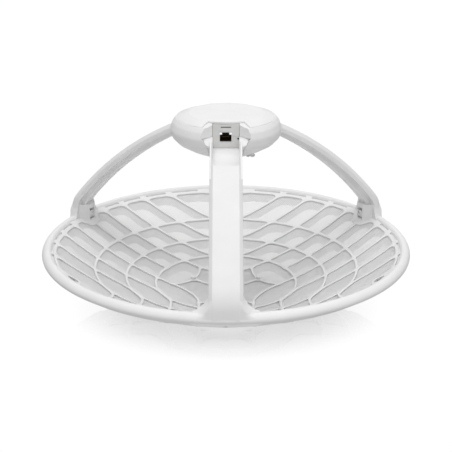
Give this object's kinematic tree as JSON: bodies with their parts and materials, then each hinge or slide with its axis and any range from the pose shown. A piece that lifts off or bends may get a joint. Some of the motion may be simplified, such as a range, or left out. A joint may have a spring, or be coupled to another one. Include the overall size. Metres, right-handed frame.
{
  "type": "outdoor wireless bridge",
  "caption": "Round see-through parabolic dish on its back, with arms rising from the rim to a rounded radio head that has a recessed network port.",
  "frame": {"origin": "centre of the rear mounting plate's outer face", "axes": "+Z along the dish axis, from the mounting plate towards the head; -Y towards the arm that carries the network port; +X to the right when that arm is seen from the front"},
  "size_m": [0.4, 0.4, 0.2212],
  "materials": {
    "white_plastic": "satin, fine moulded surface",
    "frame_plastic": "satin, fine moulded surface",
    "mesh_sheet": "pale grey painted sheet with rows of small round holes",
    "plate_steel": "pale grey powder coat",
    "screw_steel": "plain zinc",
    "port_plastic": "plain grey",
    "black_plastic": "semi-gloss",
    "clear_plastic": "milky light pipe",
    "contact_brass": "gold flashed",
    "board_green": "solder mask",
    "shield_aluminium": "bare",
    "seal_rubber": "black rubber"
  },
  "bodies": {
    "bridge": {"front_frame": "frame_plastic", "front_grid": "frame_plastic", "rear_frame": "frame_plastic", "rear_hub": "frame_plastic", "reflector_mesh": "mesh_sheet", "mount_plate": "plate_steel", "grid_screw_1": "screw_steel", "grid_screw_2": "screw_steel", "grid_screw_3": "screw_steel", "mount_screw_1": "screw_steel", "mount_screw_2": "screw_steel", "mount_screw_3": "screw_steel", "mount_screw_4": "screw_steel", "head_screw_1": "screw_steel", "head_screw_2": "screw_steel", "head_screw_3": "screw_steel", "arm_front": "white_plastic", "arm_back_left": "white_plastic", "arm_back_right": "white_plastic", "head_body": "white_plastic", "head_cap": "white_plastic", "pressure_vent": "white_plastic", "feed_window": "white_plastic", "port_plate": "port_plastic", "status_window": "black_plastic", "ethernet_jack": "black_plastic", "reset_switch": "black_plastic", "jack_light_left": "clear_plastic", "jack_light_right": "clear_plastic", "jack_contacts": "contact_brass", "main_board": "board_green", "rf_shield": "shield_aluminium", "heat_spreader": "shield_aluminium", "feed_horn": "shield_aluminium", "head_seal": "seal_rubber"},
    "reset_button": {"reset_button": "black_plastic"},
    "latch_front": {"foot_latch_front": "white_plastic"},
    "latch_back_left": {"foot_latch_back_left": "white_plastic"},
    "latch_back_right": {"foot_latch_back_right": "white_plastic"}
  },
  "joints": [
    {"name": "reset_press", "type": "slide", "parent": "bridge", "child": "reset_button", "axis": [0, 1, 0], "range_m": [0, 0.0004], "stiffness_N_per_m": 1500, "springref_m": -0.0001},
    {"name": "latch_front_press", "type": "slide", "parent": "bridge", "child": "latch_front", "axis": [0, -1, 0], "range_m": [0, 0.002], "stiffness_N_per_m": 2500, "springref_m": -0.0004},
    {"name": "latch_back_left_press", "type": "slide", "parent": "bridge", "child": "latch_back_left", "axis": [-0.866, 0.5, 0], "range_m": [0, 0.002], "stiffness_N_per_m": 2500, "springref_m": -0.0004},
    {"name": "latch_back_right_press", "type": "slide", "parent": "bridge", "child": "latch_back_right", "axis": [0.866, 0.5, 0], "range_m": [0, 0.002], "stiffness_N_per_m": 2500, "springref_m": -0.0004}
  ]
}
